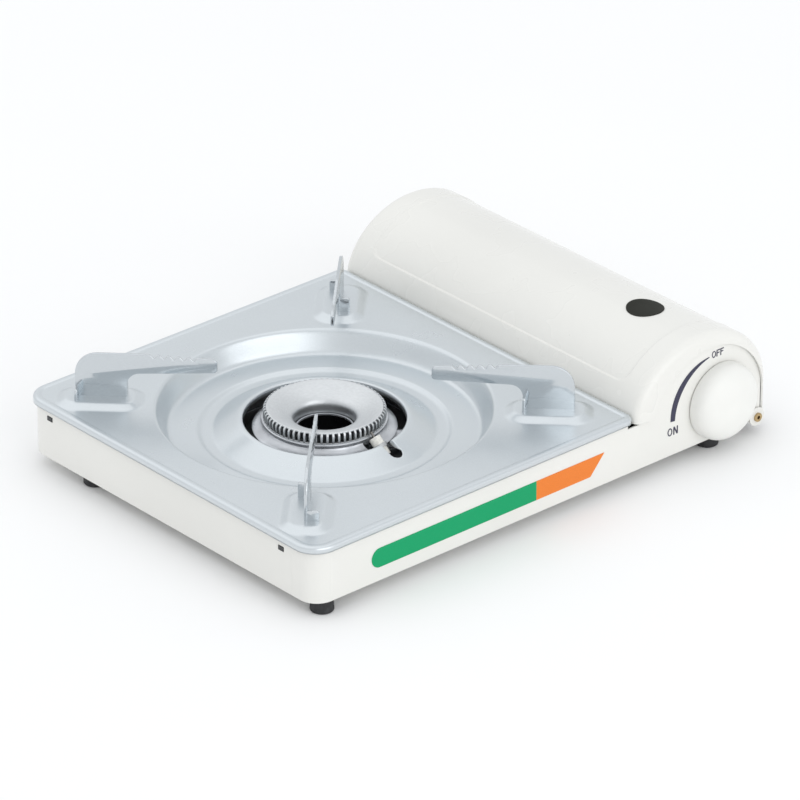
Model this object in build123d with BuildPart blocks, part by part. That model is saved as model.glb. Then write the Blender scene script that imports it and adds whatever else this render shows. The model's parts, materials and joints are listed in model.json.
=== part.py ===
from build123d import *
from math import cos, sin, radians
import os

# Portable cassette stove. X runs from the burner side to the cartridge side, -Y is the front,
# Z is up and the feet rest on Z = 0. All sizes in mm.

# ---- body -------------------------------------------------------------------------------------
half_width = 187.0            # outer half width of the whole stove
rim_front = -130.5            # front of the tray rim and of the cover
rim_back = 144.5              # back of the tray rim and of the cover
body_inset = 3.0              # body side wall behind the tray rim
wall_left = -half_width + body_inset
wall_front = rim_front + 2.0
wall_back = rim_back - 2.0
corner_r = 13.0               # plan radius of the body corners
sheet = 1.0                   # body sheet
floor_z = 9.0                 # underside of the body
wall_top = 44.5
wrap_y = -107.5               # where the front panel's wrap meets the left wall
fit_gap = 0.05                # seam between fixed sheets
part_x = 72.0                 # partition between burner and cartridge bay
wall_end = 70.0               # right end of the walls under the tray rim
part_top = 40.0               # end plates beside the tray
bay_right = 171.0             # right edge of the base pan, inside the cover
foot_r, foot_h = 7.5, 9.0
feet_at = {"front_left": (-171.0, -120.0), "front_right": (147.0, -119.0),
           "rear_left": (-172.0, 93.0), "rear_right": (147.0, 93.0)}
clip_at = (-98.0, 121.5)      # tray clips along the left wall
clip_z = 37.0

# ---- gas cover --------------------------------------------------------------------------------
cover_x, cover_z = 131.0, 37.0         # centre of the arch
cover_a, cover_b = 56.0, 47.5          # half width and rise of the arch
cover_sheet = 1.2
cover_left_z = 41.5                    # lower edge beside the tray
cover_end_r = 5.5                      # rounding of the two ends
lip_x, lip_z, lip_r = 137.0, 27.0, 47.5  # round opening that the end lips leave
hinge_x, hinge_z = 179.5, 11.5
ear_r, tab_end_r, rivet_r, running = 6.3, 4.0, 2.0, 0.05
plate_r, plate_right = 48.7, 183.2     # end plates behind the lips
panel_y0, panel_y1 = -112.0, 127.0     # pressed panel on the cover
panel_z, panel_depth = 60.5, 0.7
badge_x, badge_y, badge_r = 132.0, -77.0, 12.0
core_drop = 6.0               # how far the hollow runs past the lower edges

# ---- burner and tray --------------------------------------------------------------------------
burner_x, burner_y = -58.5, 7.5
tray_right = 74.7
tray_sheet = 0.8
tray_z, rim_low = 45.4, 41.0  # top of the tray's flat and foot of its turned-down rim
rim_round = 2.0
rim_r, rim_small_r = 16.0, 6.5
dish_r = 106.0
hole_r = 50.5
plinth_r, plinth_l, plinth_w, plinth_h = 138.5, 54.0, 32.0, 2.6
plinth_slope = 65.0
blade_t = 2.0
blade_z = tray_z + plinth_h
foot_in, foot_out, tip_r, pan_z = 122.0, 154.0, 66.0, 79.8   # pan support, out from the burner
tip_z, arm_r = (68.3, 77.2), 112.0     # arm's height at its tip, and where its top turns level
notch_r, notch_count = 80.5, 5         # first notch in the arm
tab_r, tab_l = (130.0, 147.0), 7.0
ear_h, ear_w = 9.5, 8.0
diagonals = {"rear_right": 45.0, "rear_left": 135.0, "front_left": 225.0, "front_right": 315.0}
cap_z, cap_r, cap_hole_r = 47.6, 38.3, 19.2
port_count, port_w, port_z = 66, 2.25, 40.5
skirt_r = 45.0                # flared skirt of the burner bowl
chamber_r, chamber_z = 28.2, 14.5      # mixing chamber under the burner
shield_z = 12.6
bracket_angle = 57.0
electrode_r, electrode_z, electrode_angle = 51.0, 31.2, -84.0   # foot of the slanted electrode
wire_y, wire_z = -74.0, 12.5
tube_angle, tube_z, tube_r = -33.0, 21.4, 5.8
tube_end = 172.0

# ---- gas unit ---------------------------------------------------------------------------------
knob_x, knob_z, knob_r = 147.3, 34.8, 25.5
knob_front, knob_back = -145.8, -129.0
cam_angle = -122.3            # the cam's lobe at OFF
shaft_r = 3.0
block_x0, block_x1, block_y0, block_y1, block_z0, block_z1 = 108.0, 157.4, -120.0, -94.0, 16.0, 62.0
can_x, can_z = 133.0, 47.5    # axis of the cartridge
spindle_r = 2.2
piezo_x, piezo_z, piezo_r = 164.8, 31.0, 6.0
piezo_front, piezo_back, plunger_r = -121.5, -90.0, 3.4

# ---- small parts and print --------------------------------------------------------------------
screws_at = ((-157.0, -122.5), (128.0, -122.5), (-157.0, 131.0), (128.0, 131.0))
screw_h = 1.6
label_x0, label_x1, label_z, label_h = -139.0, -6.0, 24.7, 13.0

os.makedirs("parts", exist_ok=True)


def xz(y):
    """Upright plane at depth y: sketch x is X, sketch y is Z, extrusion runs to the front."""
    return Plane.XZ.offset(-y)


def box(x0, x1, y0, y1, z0, z1, mode=Mode.ADD):
    """Block between two corners."""
    with Locations(((x0 + x1) / 2, (y0 + y1) / 2, (z0 + z1) / 2)):
        Box(x1 - x0, y1 - y0, z1 - z0, mode=mode)


def body_outline(inset, mode=Mode.ADD):
    """Plan of the body: rounded on the left, running past the stove on the right."""
    x0, x1 = wall_left + inset, 2 * half_width
    y0, y1 = wall_front + inset, wall_back - inset
    with Locations(((x0 + x1) / 2, (y0 + y1) / 2)):
        RectangleRounded(x1 - x0, y1 - y0, corner_r - inset, mode=mode)


def tray_outline(inset, mode=Mode.ADD):
    """Plan of the tray: large corners on the left, small ones beside the cover."""
    x0, x1 = -half_width + inset, tray_right - inset
    y0, y1 = rim_front + inset, rim_back - inset
    with Locations(((x0 + x1) / 2, (y0 + y1) / 2)):
        RectangleRounded(x1 - x0, y1 - y0, rim_r - inset, mode=mode)
    with Locations((x1, (y0 + y1) / 2)):
        RectangleRounded(100, y1 - y0, rim_small_r - inset, align=(Align.MAX, Align.CENTER), mode=mode)


def arch(y, inset, drop=0.0, low=None):
    """Section of the cover, inset from its skin. With low, only what lies above that height."""
    with BuildSketch(xz(y)) as section:
        with Locations((cover_x, cover_z)):
            Ellipse(cover_a - inset, cover_b - inset)
        with Locations((cover_x, hinge_z - drop)):
            Rectangle(cover_a - inset, cover_z - hinge_z + drop, align=(Align.MIN, Align.MIN))
        with Locations((cover_x, cover_left_z - drop)):
            Rectangle(200, 100, align=(Align.MAX, Align.MAX), mode=Mode.SUBTRACT)
        with Locations((cover_x, hinge_z - drop)):
            Rectangle(200, 100, align=(Align.MIN, Align.MAX), mode=Mode.SUBTRACT)
        if low is not None:
            with Locations((cover_x, low)):
                Rectangle(300, 200, align=(Align.CENTER, Align.MAX), mode=Mode.SUBTRACT)
    return section.sketch


def end_edges(part, y, drop=0.0):
    """Edges of the arch's skin at one end, without its lower edges."""
    keep = []
    for e in part.edges().filter_by_position(Axis.Y, y - 0.01, y + 0.01):
        m = e.position_at(0.5)
        if min(abs(m.Z - cover_left_z + drop), abs(m.Z - hinge_z + drop)) > 0.5 and abs(m.X - cover_x) > 0.01:
            keep.append(e)
    return keep


def arch_plate(y, x_from):
    """Flat end of the cartridge bay: arch, hinge tab and rivet hole (sketch at depth y)."""
    with BuildSketch(xz(y)) as plate:
        with Locations((lip_x, lip_z)):
            Circle(plate_r)
        with Locations((x_from, floor_z)):
            Rectangle(bay_right - x_from, part_top - floor_z, align=(Align.MIN, Align.MIN))
        with Locations((plate_right, 0)):
            Rectangle(50, 200, align=(Align.MIN, Align.MIN), mode=Mode.SUBTRACT)
        with Locations((cover_x, floor_z)):
            Rectangle(300, 100, align=(Align.CENTER, Align.MAX), mode=Mode.SUBTRACT)
        with Locations((hinge_x, hinge_z)):
            Rectangle(20, 30, align=(Align.MIN, Align.MAX), mode=Mode.SUBTRACT)
        with Locations((hinge_x, hinge_z)):
            Circle(tab_end_r)
            Circle(rivet_r, mode=Mode.SUBTRACT)
    return plate.sketch


def tube_plane(t, z=tube_z):
    """Plane across the mixing tube's axis, t mm out from the burner's centre."""
    a = radians(tube_angle)
    return Plane(origin=(burner_x + t * cos(a), burner_y + t * sin(a), z),
                 x_dir=(-sin(a), cos(a), 0), z_dir=(cos(a), sin(a), 0))


def polar(r, angle, z=0.0):
    """Point r mm from the burner's centre."""
    return (burner_x + r * cos(radians(angle)), burner_y + r * sin(radians(angle)), z)


def ring_profile(points):
    """Closed profile in radius and height, turned about the burner's axis."""
    with BuildSketch(Plane(origin=(burner_x, burner_y, 0), x_dir=(1, 0, 0), z_dir=(0, -1, 0))) as sk:
        with BuildLine():
            Polyline(*points, close=True)
        make_face()
    revolve(sk.sketch, axis=Axis((burner_x, burner_y, 0), (0, 0, 1)))


def save(builder, name):
    """Label the part and write its STEP file."""
    builder.part.label = name
    export_step(builder.part, "parts/" + name + ".step")


# ---- base pan: floor, left wall and back wall -------------------------------------------------
with BuildPart() as base_pan:
    with BuildSketch(Plane.XY.offset(floor_z)):
        body_outline(0)
        body_outline(sheet, Mode.SUBTRACT)
    extrude(amount=wall_top - floor_z)
    box(-half_width, wall_end, wrap_y + fit_gap, rim_back, floor_z, wall_top, Mode.INTERSECT)
    with BuildSketch(Plane.XY.offset(floor_z)):
        body_outline(sheet / 2)
        with Locations((0, wrap_y + fit_gap)):
            Rectangle(4 * half_width, 200, align=(Align.CENTER, Align.MAX), mode=Mode.SUBTRACT)
        with Locations((wall_end, 0)):
            Rectangle(4 * half_width, 400, align=(Align.MIN, Align.CENTER), mode=Mode.SUBTRACT)
        body_outline(sheet + fit_gap)
        with Locations((bay_right, 0)):
            Rectangle(4 * half_width, 400, align=(Align.MIN, Align.CENTER), mode=Mode.SUBTRACT)
    extrude(amount=sheet)
    # low curb along the hinge side
    box(bay_right - sheet, bay_right, wall_front + 8, wall_back - 8, floor_z, floor_z + 9)
    # windows for the tray clips
    for y in clip_at:
        box(wall_left - 1, wall_left + 2, y - 2.6, y + 2.6, clip_z - 1.7, clip_z + 1.7, Mode.SUBTRACT)
    # cooling slots in the floor
    with BuildSketch(Plane.XY.offset(floor_z)):
        with Locations((45, 10)):
            with GridLocations(12, 90, 3, 2):
                SlotOverall(60, 5, rotation=90)
    extrude(amount=sheet, mode=Mode.SUBTRACT)
save(base_pan, "base_pan")

# ---- front panel: front wall, wrap round the corner, arched end -------------------------------
with BuildPart() as front_panel:
    with BuildSketch(Plane.XY.offset(floor_z)):
        body_outline(0)
        body_outline(sheet, Mode.SUBTRACT)
    extrude(amount=wall_top - floor_z)
    box(-half_width, wall_end, rim_front, wrap_y, floor_z, wall_top, Mode.INTERSECT)
    extrude(arch_plate(wall_front + sheet, wall_end - 1), amount=sheet)
    with BuildSketch(xz(wall_front + sheet)):
        with Locations((knob_x, knob_z)):
            Circle(shaft_r + 3.5)
    extrude(amount=sheet, mode=Mode.SUBTRACT)
save(front_panel, "front_panel")

# ---- rear panel -------------------------------------------------------------------------------
with BuildPart() as rear_panel:
    extrude(arch_plate(wall_back, wall_end + fit_gap), amount=sheet)
save(rear_panel, "rear_panel")

# ---- partition between burner and cartridge bay -----------------------------------------------
with BuildPart() as partition:
    box(part_x, part_x + sheet, wall_front + 2.5 * sheet, wall_back - 2.5 * sheet, floor_z + sheet, wall_top - 1)
    box(part_x, part_x + 9, wall_front + 12, wall_back - 12, floor_z + sheet, floor_z + 2 * sheet)
    with BuildSketch(tube_plane(135)):
        Circle(tube_r + 2.3)
    extrude(amount=45, mode=Mode.SUBTRACT)
    box(part_x - 1, part_x + 12, wire_y - 3, wire_y + 3, floor_z, wire_z + 3, Mode.SUBTRACT)
save(partition, "partition")

# ---- heat shield plate under the burner -------------------------------------------------------
with BuildPart() as heat_shield:
    with BuildSketch(Plane.XY.offset(shield_z)):
        with Locations((burner_x, burner_y + 6)):
            RectangleRounded(150, 138, 12)
    extrude(amount=tray_sheet)
    with BuildSketch(Plane.XY.offset(shield_z)):
        with Locations((burner_x, burner_y + 6)):
            RectangleRounded(150, 138, 12)
            RectangleRounded(148.4, 136.4, 11.2, mode=Mode.SUBTRACT)
    extrude(amount=1.8)
    with Locations((burner_x, burner_y + 6, (floor_z + sheet + shield_z) / 2)):
        with GridLocations(120, 108, 2, 2):
            Cylinder(5, shield_z - floor_z - sheet)
save(heat_shield, "heat_shield")

# ---- drip tray --------------------------------------------------------------------------------
with BuildPart() as tray_core:
    with BuildSketch(Plane.XY.offset(rim_low)):
        tray_outline(tray_sheet)
    extrude(amount=tray_z - rim_low - tray_sheet)
    fillet(tray_core.faces().sort_by(Axis.Z)[-1].edges(), rim_round - tray_sheet)

with BuildPart() as drip_tray:
    # flat with a turned-down rim
    with BuildSketch(Plane.XY.offset(rim_low)):
        tray_outline(0)
    extrude(amount=tray_z - rim_low)
    fillet(drip_tray.faces().sort_by(Axis.Z)[-1].edges(), rim_round)
    add(tray_core.part, mode=Mode.SUBTRACT)
    with Locations((burner_x, burner_y, tray_z)):
        Cylinder(dish_r, 20, mode=Mode.SUBTRACT)
    # deep trough round the burner, then a cone up to the lip of the burner hole
    t = tray_sheet
    upper = [(dish_r + 0.3, tray_z), (104.8, 45.2), (103.6, 44.0), (98.4, 32.6), (97.0, 31.0), (95.2, 30.5),
             (78.6, 30.5), (77.2, 29.4), (75.8, 29.0), (69.5, 29.0), (54.6, 36.8), (52.6, 37.6),
             (hole_r + 0.7, 37.6), (hole_r, 36.9), (hole_r, 33.6)]
    lower = [(hole_r + t, 33.6), (hole_r + t, 36.6), (hole_r + 1.1, 36.8), (52.5, 36.8), (54.3, 36.0),
             (69.3, 28.2), (76.0, 28.2), (77.6, 28.6), (78.9, 29.7), (95.4, 29.7), (97.6, 30.3), (99.2, 32.3),
             (104.3, 43.6), (105.0, 44.4), (dish_r + 0.3, tray_z - t)]
    ring_profile(upper + lower)
    # raised plinths under the pan supports, hollow beneath, with two slots each
    for angle in diagonals.values():
        turn = (cos(radians(angle)), sin(radians(angle)), 0)
        with BuildSketch(Plane(origin=polar(plinth_r, angle, tray_z - 0.05), x_dir=turn, z_dir=(0, 0, 1))):
            RectangleRounded(plinth_l, plinth_w, plinth_w / 2.5)
        extrude(amount=plinth_h + 0.05, taper=plinth_slope)
        with BuildSketch(Plane(origin=polar(plinth_r, angle, tray_z - t), x_dir=turn, z_dir=(0, 0, 1))):
            RectangleRounded(plinth_l - 0.8, plinth_w - 0.8, plinth_w / 2.5 - 0.4)
        extrude(amount=plinth_h, taper=plinth_slope, mode=Mode.SUBTRACT)
        for r in tab_r:
            with Locations(Location(polar(r, angle, blade_z), (0, 0, angle))):
                Box(tab_l + 0.2, blade_t + 0.2, 4, mode=Mode.SUBTRACT)
    # notch for the electrode
    with Locations(Location(polar(54, electrode_angle, 35), (0, 0, electrode_angle))):
        Box(10, 10, 12, mode=Mode.SUBTRACT)
    with Locations(polar(58.5, electrode_angle, 35)):
        Cylinder(5, 12, mode=Mode.SUBTRACT)
save(drip_tray, "drip_tray")

# ---- pan supports: notched blades with an ear bent to each side at the foot --------------------
for place, angle in diagonals.items():
    turn = (cos(radians(angle)), sin(radians(angle)), 0)
    side = Plane(origin=(burner_x, burner_y, 0), x_dir=turn, z_dir=(turn[1], -turn[0], 0))
    with BuildPart() as pan_support:
        with BuildSketch(side) as blade:
            with BuildLine():
                Polyline((foot_in, blade_z), (foot_in, 66.2), (tip_r, tip_z[0]), (tip_r, tip_z[1]),
                         (arm_r, pan_z), (foot_out, pan_z), (foot_out, blade_z), close=True)
            make_face()
            fillet([v for v in blade.vertices() if v.X > foot_out - 1 and v.Y > 70], 14)
            fillet([v for v in blade.vertices() if abs(v.X - foot_in) < 0.1 and v.Y > 60], 8)
            fillet([v for v in blade.vertices() if v.X < tip_r + 0.1], 2)
            for i in range(notch_count):
                r = notch_r + 6.1 * i
                top = tip_z[1] + (r - tip_r) * (pan_z - tip_z[1]) / (arm_r - tip_r)
                with BuildLine():
                    Polyline((r - 2.1, top + 0.6), (r + 2.1, top + 0.6), (r, top - 2.5), close=True)
                make_face(mode=Mode.SUBTRACT)
            for r in tab_r:
                with Locations((r, blade_z - 1)):
                    Rectangle(tab_l, 2)
        extrude(amount=blade_t / 2, both=True)
        for r, way in ((foot_in + blade_t / 2, 1), (foot_out - blade_t / 2, -1)):
            with BuildSketch(side):
                with Locations((r, blade_z + ear_h / 2)):
                    Rectangle(blade_t, ear_h)
            extrude(amount=way * ear_w)
    save(pan_support, "pan_support_" + place)

# ---- burner -----------------------------------------------------------------------------------
with BuildPart() as burner_cap:
    ring_profile([(36.3, cap_z - 0.4), (36.0, cap_z), (35.0, cap_z - 0.1), (30.5, 46.3), (25.5, 44.2),
                  (22.0, 42.4), (20.2, 40.9), (cap_hole_r + 0.2, 39.2), (cap_hole_r, 37.5),
                  (cap_hole_r, 29.6), (cap_hole_r + 1, 29.6), (cap_hole_r + 1, 37.2), (cap_hole_r + 1.4, 38.8),
                  (21.4, 40.3), (23.0, 41.6), (26.0, 43.2), (30.9, 45.3), (35.0, 46.5), (36.3, 46.6)])
save(burner_cap, "burner_cap")

with BuildPart() as burner_ports:
    ring_profile([(36.35, port_z), (cap_r - 0.1, port_z), (cap_r - 0.1, 45.8), (cap_r - 0.4, 46.6),
                  (37.1, cap_z - 0.1), (36.35, cap_z - 0.1)])
    with Locations((burner_x, burner_y, port_z + 5)):
        with PolarLocations(cap_r - 1, port_count):
            Box(6, port_w, 8.2, mode=Mode.SUBTRACT)
save(burner_ports, "burner_ports")

with BuildPart() as burner_bowl:
    ring_profile([(36.2, port_z), (38.9, port_z), (39.2, 40.0), (38.8, 39.4), (38.1, 39.2), (38.0, 37.8),
                  (39.4, 35.9), (42.0, 34.8), (skirt_r, 34.4), (skirt_r, 33.6), (41.6, 34.0), (38.6, 35.1),
                  (36.6, 34.6), (31.0, 30.2), (chamber_r, 28.6), (chamber_r, chamber_z + 1),
                  (chamber_r - 1, chamber_z), (17.4, chamber_z), (17.4, 33.0), (18.4, 33.0),
                  (18.4, chamber_z + 1), (chamber_r - 1.4, chamber_z + 1), (chamber_r - 1.0, chamber_z + 1.4),
                  (chamber_r - 1.0, 29.2), (30.4, 31.2), (35.8, 35.6)])
    with BuildSketch(tube_plane(20)):
        Circle(tube_r)
    extrude(amount=22, mode=Mode.SUBTRACT)
    # gap in the skirt for the electrode
    with Locations(Location(polar(44, electrode_angle, 35), (0, 0, electrode_angle))):
        Box(9, 12, 5, mode=Mode.SUBTRACT)
save(burner_bowl, "burner_bowl")

with BuildPart() as mixing_tube:
    with BuildSketch(tube_plane(24)):
        Circle(tube_r)
    extrude(amount=tube_end - 24)
    with BuildSketch(tube_plane(tube_end - 2)):
        Circle(tube_r + 1.8)
    extrude(amount=2)
    with BuildSketch(tube_plane(24)):
        Circle(tube_r - 0.9)
    extrude(amount=tube_end - 24, mode=Mode.SUBTRACT)
    for turn_to in (0, 180):
        with Locations(tube_plane(164).location * Location((0, 0, 0), (0, 0, turn_to))):
            with Locations((tube_r, 0, 0)):
                Box(6, 5, 7, mode=Mode.SUBTRACT)
save(mixing_tube, "mixing_tube")

with BuildPart() as air_sleeve:
    with BuildSketch(tube_plane(138)):
        Circle(tube_r + 1.0)
        Circle(tube_r + fit_gap, mode=Mode.SUBTRACT)
    extrude(amount=12)
save(air_sleeve, "air_sleeve")

with BuildPart() as burner_bracket:
    across = Plane(origin=(burner_x, burner_y, shield_z + tray_sheet),
                   x_dir=(cos(radians(bracket_angle)), sin(radians(bracket_angle)), 0), z_dir=(0, 0, 1))
    with BuildSketch(across):
        RectangleRounded(78, 34, 6)
        Circle(11, mode=Mode.SUBTRACT)
    extrude(amount=chamber_z - shield_z - tray_sheet)
save(burner_bracket, "burner_bracket")

with BuildPart() as burner_screws:
    for way in (0, 180):
        with BuildSketch(Plane.XY.offset(chamber_z)):
            with Locations(polar(33.2, bracket_angle + way)[:2]):
                Circle(2.7)
        extrude(amount=1.8)
        with Locations(Location(polar(33.2, bracket_angle + way, chamber_z + 1.8), (0, 0, 20 + way))):
            Box(0.8, 6, 1.4, mode=Mode.SUBTRACT)
save(burner_screws, "burner_screws")

# ---- spark electrode, slanting up to the slots ------------------------------------------------
def electrode_plane(t):
    """Plane across the electrode, t mm up from its foot."""
    way = Vector(-cos(radians(electrode_angle)), -sin(radians(electrode_angle)), 1).normalized()
    return Plane(origin=Vector(*polar(electrode_r, electrode_angle, electrode_z)) + way * t, z_dir=way)


with BuildPart() as electrode_insulator:
    with BuildSketch(electrode_plane(0)):
        Circle(3.9)
        Circle(0.9, mode=Mode.SUBTRACT)
    extrude(amount=13)
    fillet(electrode_insulator.edges().filter_by(GeomType.CIRCLE).sort_by(Axis.Z)[-1], 0.4)
save(electrode_insulator, "electrode_insulator")

with BuildPart() as electrode_pin:
    with BuildSketch(electrode_plane(5)):
        Circle(0.85)
    extrude(amount=12)
save(electrode_pin, "electrode_pin")

with BuildPart() as electrode_bracket:
    arm = Location(polar(0, 0, 26.5), (0, 0, electrode_angle))
    with Locations(arm * Location(((chamber_r + 43.8) / 2, 0, 0))):
        Box(43.8 - chamber_r, 8, 1)
    with Locations(arm * Location((43.3, 0, 2.6))):
        Box(1, 8, 5.8)
    with BuildSketch(electrode_plane(5)):
        Circle(4.9)
        Circle(3.92, mode=Mode.SUBTRACT)
    extrude(amount=2.5)
    with BuildSketch(electrode_plane(3)):
        Circle(3.92)
    extrude(amount=6, mode=Mode.SUBTRACT)
save(electrode_bracket, "electrode_bracket")

with BuildPart() as ignition_wire:
    wire_x = polar(66, electrode_angle)[0]
    with BuildLine() as wire_path:
        FilletPolyline((piezo_x, piezo_back, piezo_z), (piezo_x, wire_y, piezo_z), (piezo_x, wire_y, wire_z),
                       (wire_x, wire_y, wire_z), polar(66, electrode_angle, wire_z + 1),
                       polar(58, electrode_angle, 22), polar(electrode_r + 0.9, electrode_angle, 30.2), radius=4)
    with BuildSketch(xz(piezo_back)):
        with Locations((piezo_x, piezo_z)):
            Circle(1.1)
    sweep(path=wire_path.line)
save(ignition_wire, "ignition_wire")

# ---- gas unit behind the knob -----------------------------------------------------------------
with BuildPart() as regulator_body:
    box(block_x0, block_x1, block_y0, block_y1, block_z0, block_z1)
    fillet(regulator_body.edges().filter_by(Axis.Y), 3)
    with BuildSketch(xz(block_y0)):
        with Locations((knob_x, knob_z)):
            Circle(8)
    extrude(amount=3.5)
    with BuildSketch(xz(block_y1 + 6)):
        with Locations((can_x, can_z)):
            Circle(11)
    extrude(amount=7)
    with BuildSketch(tube_plane(186)):
        Circle(6)
    extrude(amount=16)
    # saddle beside the igniter
    box(block_x1 - 1, piezo_x - piezo_r - fit_gap, -116, -100, piezo_z - 4, piezo_z + 4)
    # bores for the shaft, the spindle, the cartridge nozzle and the jet
    with BuildSketch(xz(-112)):
        with Locations((knob_x, knob_z)):
            Circle(shaft_r + 0.3)
    extrude(amount=20, mode=Mode.SUBTRACT)
    with BuildSketch(xz(-95)):
        with Locations((knob_x, knob_z)):
            Circle(spindle_r + 0.3)
    extrude(amount=18, mode=Mode.SUBTRACT)
    with BuildSketch(xz(block_y1 + 6)):
        with Locations((can_x, can_z)):
            Circle(7)
    extrude(amount=5, mode=Mode.SUBTRACT)
    with BuildSketch(tube_plane(185)):
        Circle(3.2)
    extrude(amount=6, mode=Mode.SUBTRACT)
save(regulator_body, "regulator_body")

with BuildPart() as regulator_cap:
    with Locations((124, -107, block_z1 + 2)):
        Cylinder(11.5, 4)
        Cylinder(4, 6, align=(Align.CENTER, Align.CENTER, Align.MIN))
    fillet(regulator_cap.edges().filter_by(GeomType.CIRCLE).sort_by(Axis.Z)[-1], 0.8)
save(regulator_cap, "regulator_cap")

with BuildPart() as gas_jet:
    for start, length, radius in ((tube_end - 4, 6, 2.4), (181, 10, 3.2)):
        with BuildSketch(tube_plane(start)):
            Circle(radius)
        extrude(amount=length)
    with BuildSketch(tube_plane(174)):
        RegularPolygon(5.4, 6)
    extrude(amount=8)
    with BuildSketch(tube_plane(tube_end - 4)):
        Circle(0.6)
    extrude(amount=23, mode=Mode.SUBTRACT)
save(gas_jet, "gas_jet")

with BuildPart() as valve_spindle:
    with BuildSketch(xz(-99)):
        with Locations((knob_x, knob_z)):
            Circle(spindle_r)
    extrude(amount=13.4)
    with BuildSketch(xz(-99)):
        with Locations((knob_x, knob_z)):
            Circle(spindle_r)
    extrude(amount=-2, taper=35)
save(valve_spindle, "valve_spindle")

with BuildPart() as cartridge_plate:
    with BuildSketch(xz(block_y1 + 1.5)):
        with Locations((can_x + 0.5, (70 + floor_z + sheet) / 2)):
            RectangleRounded(47, 70 - floor_z - sheet, 5)
        with Locations((can_x, can_z)):
            Circle(11 + fit_gap, mode=Mode.SUBTRACT)
    extrude(amount=1.5)
    # key for the notch in the cartridge collar
    box(can_x - 2.5, can_x + 2.5, block_y1 + 1.5, block_y1 + 7, can_z + 17.5, can_z + 19)
save(cartridge_plate, "cartridge_plate")

with BuildPart() as socket_seal:
    with BuildSketch(xz(block_y1 + 3.5)):
        with Locations((can_x, can_z)):
            Circle(6.8)
            Circle(3.6, mode=Mode.SUBTRACT)
    extrude(amount=2.5)
    fillet(socket_seal.edges().filter_by(GeomType.CIRCLE), 0.5)
save(socket_seal, "socket_seal")

with BuildPart() as holding_magnets:
    with BuildSketch(xz(block_y1 + 5)):
        with Locations((can_x - 17, can_z), (can_x + 17, can_z - 4)):
            Circle(5)
    extrude(amount=3.5)
save(holding_magnets, "holding_magnets")

with BuildPart() as cartridge_cradle:
    box(can_x - 31, can_x + 31, -58, 118, floor_z + sheet, floor_z + 2 * sheet)
    for way in (-1, 1):
        x = can_x + way * 22
        box(x - 0.6, x + 0.6, -58, 118, floor_z + sheet, 21.0)
        with BuildSketch(xz(118)):
            with Locations((x, 21.0)):
                Circle(1.4)
        extrude(amount=176)
save(cartridge_cradle, "cartridge_cradle")

with BuildPart() as piezo_igniter:
    with BuildSketch(xz(piezo_back)):
        with Locations((piezo_x, piezo_z)):
            Circle(piezo_r)
    extrude(amount=piezo_back - piezo_front)
    with BuildSketch(xz(-108)):
        with Locations((piezo_x, piezo_z)):
            Circle(plunger_r + 0.3)
    extrude(amount=20, mode=Mode.SUBTRACT)
save(piezo_igniter, "piezo_igniter")

with BuildPart() as piezo_plunger:
    with BuildSketch(xz(-113)):
        with Locations((piezo_x, piezo_z)):
            Circle(plunger_r)
    extrude(amount=11)
    fillet(piezo_plunger.edges().filter_by(GeomType.CIRCLE).sort_by(Axis.Y)[0], 1)
save(piezo_plunger, "piezo_plunger")

# ---- knob, shaft and cam ----------------------------------------------------------------------
with BuildPart() as knob:
    with BuildSketch(Plane(origin=(knob_x, 0, knob_z), x_dir=(1, 0, 0), z_dir=(0, 0, 1))) as half:
        with BuildLine():
            Spline((0, knob_front), (11, knob_front + 0.5), (19, knob_front + 3.2),
                   (24.2, knob_front + 9), (knob_r, knob_back - 1.5), tangents=((1, 0), (0, 1)))
            Polyline((knob_r, knob_back - 1.5), (knob_r, knob_back), (knob_r - 2, knob_back),
                     (knob_r - 2.2, knob_back - 3), (21, knob_front + 7), (17, knob_front + 4.2),
                     (7, knob_front + 3), (6.5, knob_back - 0.5), (shaft_r, knob_back - 0.5),
                     (shaft_r, knob_front + 3.8), (0, knob_front + 3.8), (0, knob_front))
        make_face()
    revolve(half.sketch, axis=Axis((knob_x, 0, knob_z), (0, 1, 0)))
save(knob, "knob")

with BuildPart() as knob_shaft:
    with BuildSketch(xz(-113)):
        with Locations((knob_x, knob_z)):
            Circle(shaft_r)
    extrude(amount=-113 - knob_front - 3.8)
save(knob_shaft, "knob_shaft")

with BuildPart() as shaft_cam:
    with BuildSketch(xz(-124.2)):
        with Locations((knob_x, knob_z)):
            Circle(7)
        with Locations(Location((knob_x, knob_z, 0), (0, 0, cam_angle))):
            with Locations((9, 0)):
                Rectangle(18, 8)
            with Locations((17, 0)):
                Circle(4)
        with Locations((knob_x, knob_z)):
            Circle(shaft_r, mode=Mode.SUBTRACT)
    extrude(amount=2.4)
save(shaft_cam, "shaft_cam")

# ---- gas cover --------------------------------------------------------------------------------
inner_length = rim_back - rim_front - 2 * cover_sheet
with BuildPart() as cover_core:
    extrude(arch(rim_back - cover_sheet, cover_sheet, drop=core_drop), amount=inner_length)
    fillet(end_edges(cover_core.part, rim_front + cover_sheet, core_drop)
           + end_edges(cover_core.part, rim_back - cover_sheet, core_drop), cover_end_r - cover_sheet)

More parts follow.
